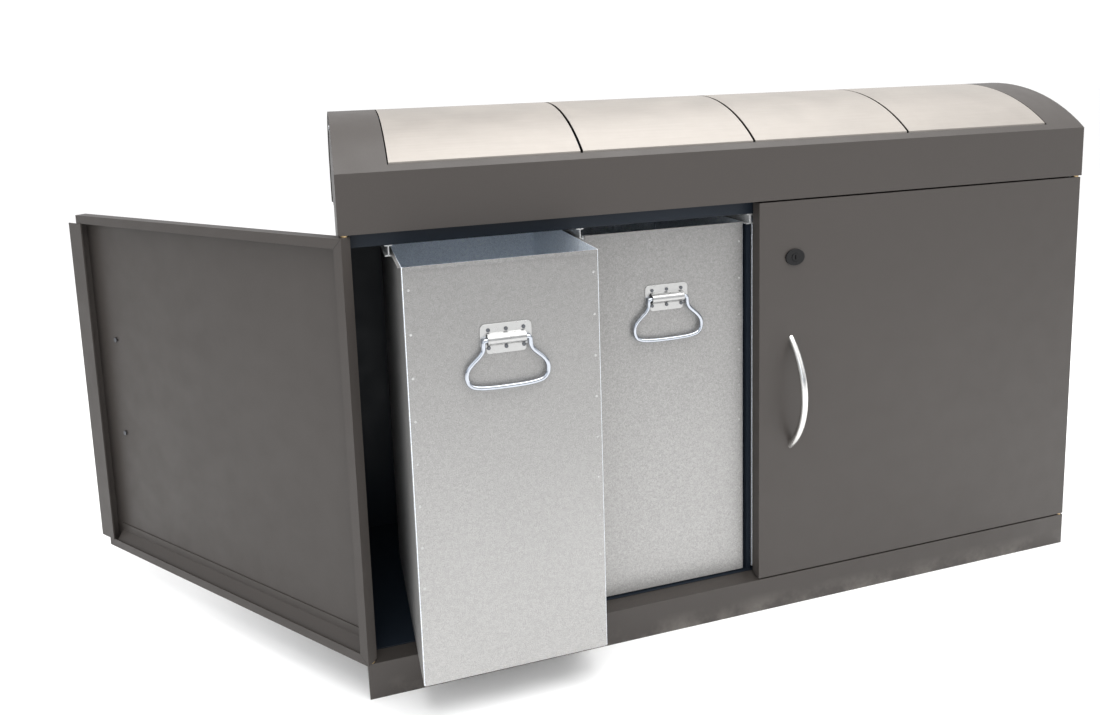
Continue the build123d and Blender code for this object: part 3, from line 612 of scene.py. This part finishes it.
def stud_rows(name, rows, radius, height, material):
    """One mesh of studs; each row is (count, start, end, axis that the studs point along)."""
    bm = bmesh.new()
    for count, start, end, axis in rows:
        holder = bpy.data.objects.new("row", bpy.data.meshes.new("row"))
        scene.collection.objects.link(holder)
        nodes_modifier = holder.modifiers.new("studs", "NODES")
        nodes_modifier.node_group = STUDS
        for label, value in (("Count", count), ("Start", start), ("End", end), ("Radius", radius),
                             ("Height", height), ("Turn", FACING[axis]), ("Finish", material)):
            nodes_modifier[STUD_SOCKETS[label].identifier] = value
        row = evaluated_mesh(holder, "row")
        bm.from_mesh(row)
        bpy.data.meshes.remove(row)
    mesh = bpy.data.meshes.new(name)
    bm.to_mesh(mesh)
    bm.free()
    return mesh


def spot_welds(number):
    """Weld marks down the bin's four upright edges, on the side walls and on the front and back."""
    low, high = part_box(f"bin_{number}_shell")
    left, right = low.x + BIN_FLANGE, high.x - BIN_FLANGE
    front, back = low.y + BIN_WALL, high.y - BIN_WALL
    foot, head = low.z + 28 * MM, high.z - 34 * MM
    side_lap, front_lap, marks = 10 * MM, 9 * MM, 10
    rows = []
    for x in (left, right):
        for y in (front + side_lap, back - side_lap):
            rows.append((marks, (x, y, foot), (x, y, head), "x"))
    for x in (left + front_lap, right - front_lap):
        for y in (front, back):
            rows.append((marks, (x, y, foot), (x, y, head), "y"))
    return stud_rows("spot_welds", rows, 2.1 * MM, 0.16 * MM, weld_mark)


def mitre_lines(node, edges, is_open):
    """Fine dark joint lines across the corners of a door's inner lip; edges are the shut door's sides."""
    low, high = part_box(node)
    lip, start, half_line = 16 * MM, 0.6 * MM, 0.45 * MM
    behind, sunk = DOOR_BACK + 0.06 * MM, DOOR_BACK - 0.1 * MM
    bm = bmesh.new()
    for x, inward in ((edges[0], 1), (edges[1], -1)):
        for z, upward in ((low.z, 1), (high.z, -1)):
            first = Vector((x + inward * start, 0, z + upward * start))
            last = Vector((x + inward * lip, 0, z + upward * lip))
            across = Vector((last.z - first.z, 0, first.x - last.x)).normalized() * half_line
            corners = [first + across, last + across, last - across, first - across]
            closed_prism(bm, *([bm.verts.new((c.x, y, c.z)) for c in corners] for y in (sunk, behind)))
    mesh = mesh_from(node + "_mitres", bm)
    if is_open:
        turn = Matrix.Rotation(LEFT_DOOR_TURN, 4, "Z")
        mesh.transform(Matrix.Translation(LEFT_PIVOT) @ turn @ Matrix.Translation(-LEFT_PIVOT))
    return mesh


def guard_strip(side):
    """The pale guard line low on a side sheet's inner face; side is -1 on the left and 1 on the right."""
    near, far = sorted((side * 0.6938, side * 0.695))
    low, high = Vector((near, -0.178, 0.313)), Vector((far, 0.176, 0.316))
    size = high - low
    bm = bmesh.new()
    bmesh.ops.create_cube(bm, size=1.0)
    for vertex in bm.verts:
        vertex.co = [low[n] + (vertex.co[n] + 0.5) * size[n] for n in range(3)]
    return softened(mesh_from("guard_strip", bm), min(size) / 4)


for number in BINS:
    wire_low, wire_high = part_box(f"bin_{number}_bail")
    plate_low, plate_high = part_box(f"bin_{number}_grip_plate")
    middle_x = (plate_low.x + plate_high.x) / 2
    axis_y = (wire_low.y + wire_high.y) / 2
    axis_z = (plate_low.z + plate_high.z) / 2
    add_piece(f"bin_{number}_grip_pressing", grip_pressing(middle_x, plate_high.y, axis_z), plate_zinc,
              f"bin_{number}", "bright_zinc", f"bin_{number}_grip_plate")
    add_piece(f"bin_{number}_bent_wire", bent_wire(middle_x, axis_y, axis_z), wire_zinc,
              f"bin_{number}_grip", "bright_zinc", f"bin_{number}_bail")
    add_piece(f"bin_{number}_spot_welds", spot_welds(number), weld_mark, f"bin_{number}", "galvanised_steel")

left_mitres = mitre_lines("left_door_pan", (-BODY_HALF, -DOOR_GAP_HALF), True)
right_mitres = mitre_lines("right_door_pan", (DOOR_GAP_HALF, BODY_HALF), False)
add_piece("left_door_mitres", left_mitres, seam_shadow, "left_door", "cabinet_paint")
add_piece("right_door_mitres", right_mitres, seam_shadow, "right_door", "cabinet_paint")

body_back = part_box("side_panel_left")[1].y
rivet_rows = [(9, (x, body_back, 0.095), (x, body_back, 0.72), "y") for x in (-0.6895, 0.6895)]
add_piece("back_rivets", stud_rows("back_rivets", rivet_rows, 3.4 * MM, 1.3 * MM, screw_steel), screw_steel,
          "cabinet", "bright_zinc")
for side, name in ((-1, "left"), (1, "right")):
    add_piece(f"{name}_guard_strip", guard_strip(side), rail_zinc, "cabinet", "galvanised_steel")


# ---- camera, light and floor ----
def set_camera(place_mm, aim_mm, roll_deg, lens, shift):
    """The camera stands at one point and looks at another, both in millimetres, and leans by the roll."""
    camera = bpy.data.cameras.new("front_left_view")
    camera.lens = lens
    camera.sensor_width = 36.0
    camera.shift_x, camera.shift_y = shift
    camera.clip_start, camera.clip_end = 0.05, 100.0
    stand = bpy.data.objects.new("front_left_view", camera)
    scene.collection.objects.link(stand)
    start, aim = Vector(place_mm) * MM, Vector(aim_mm) * MM
    turn = (aim - start).to_track_quat("-Z", "Y")
    stand.rotation_mode = "QUATERNION"
    stand.rotation_quaternion = turn @ Quaternion((0, 0, 1), math.radians(-roll_deg))
    stand.location = start
    scene.camera = stand


def soft_box(name, where, aim, size, power, colour=(1, 1, 1)):
    light = bpy.data.lights.new(name, "AREA")
    light.shape = "RECTANGLE"
    light.size, light.size_y = size
    light.energy = power
    light.color = colour
    stand = bpy.data.objects.new(name, light)
    scene.collection.objects.link(stand)
    stand.location = where
    stand.rotation_euler = (Vector(aim) - Vector(where)).to_track_quat("-Z", "Y").to_euler()


def pale_floor():
    """A wide matt floor, a shade off white."""
    pale, half = (0.97, 0.97, 0.97), 40.0
    corners = [(-half, -half, 0), (half, -half, 0), (half, half, 0), (-half, half, 0)]
    mesh = bpy.data.meshes.new("studio_floor")
    mesh.from_pydata(corners, [], [(0, 1, 2, 3)])
    material, tree, shader = new_material("pale_studio_floor", pale, 0.0, 1.0, 0.0)
    grain = spread(tree, noise(tree, place(tree), 6.0, 3.0), 0.985, 1.0)
    tree.links.new(tint(tree, pale, grain), shader.inputs["Base Color"])
    mesh.materials.append(material)
    floor = bpy.data.objects.new("studio_floor", mesh)
    scene.collection.objects.link(floor)


def studio_sky(strength, horizon, blend_to):
    """White studio all round; what shines sees a greyer wall near the horizon."""
    white = (1.0, 1.0, 1.0)
    world = bpy.data.worlds.new("studio_sky")
    scene.world = world
    world.use_nodes = True
    tree = world.node_tree
    background = tree.nodes["Background"]
    background.inputs["Strength"].default_value = strength
    where = tree.nodes.new("ShaderNodeTexCoord")
    parts = tree.nodes.new("ShaderNodeSeparateXYZ")
    tree.links.new(where.outputs["Generated"], parts.inputs["Vector"])
    rise = spread(tree, parts.outputs["Z"], 0.0, 1.0, 0.02, blend_to)
    wall = blend_colours(tree, rise, horizon, white)
    ray = tree.nodes.new("ShaderNodeLightPath")
    seen = blend_colours(tree, ray.outputs["Is Glossy Ray"], white, wall)
    tree.links.new(seen, background.inputs["Color"])


set_camera((-720.1, -1311.0, 955.3), (-367.2, 136.0, 777.2), 2.277, 24.266, (0.0455, -0.16))
studio_sky(1.05, (0.25, 0.28, 0.33), 0.40)
pale_floor()
soft_box("overhead_box", (0.2, -0.55, 3.0), (0.0, 0.0, 0.7), (3.6, 2.6), 112)
soft_box("front_right_box", (2.3, -2.6, 1.7), (0.1, 0.0, 0.5), (1.8, 1.8), 6)
soft_box("front_left_box", (-1.9, -2.3, 1.15), (-0.5, -0.1, 0.6), (1.2, 1.2), 5, (0.80, 0.90, 1.0))
scene.view_settings.view_transform = "Standard"
scene.view_settings.look = "None"
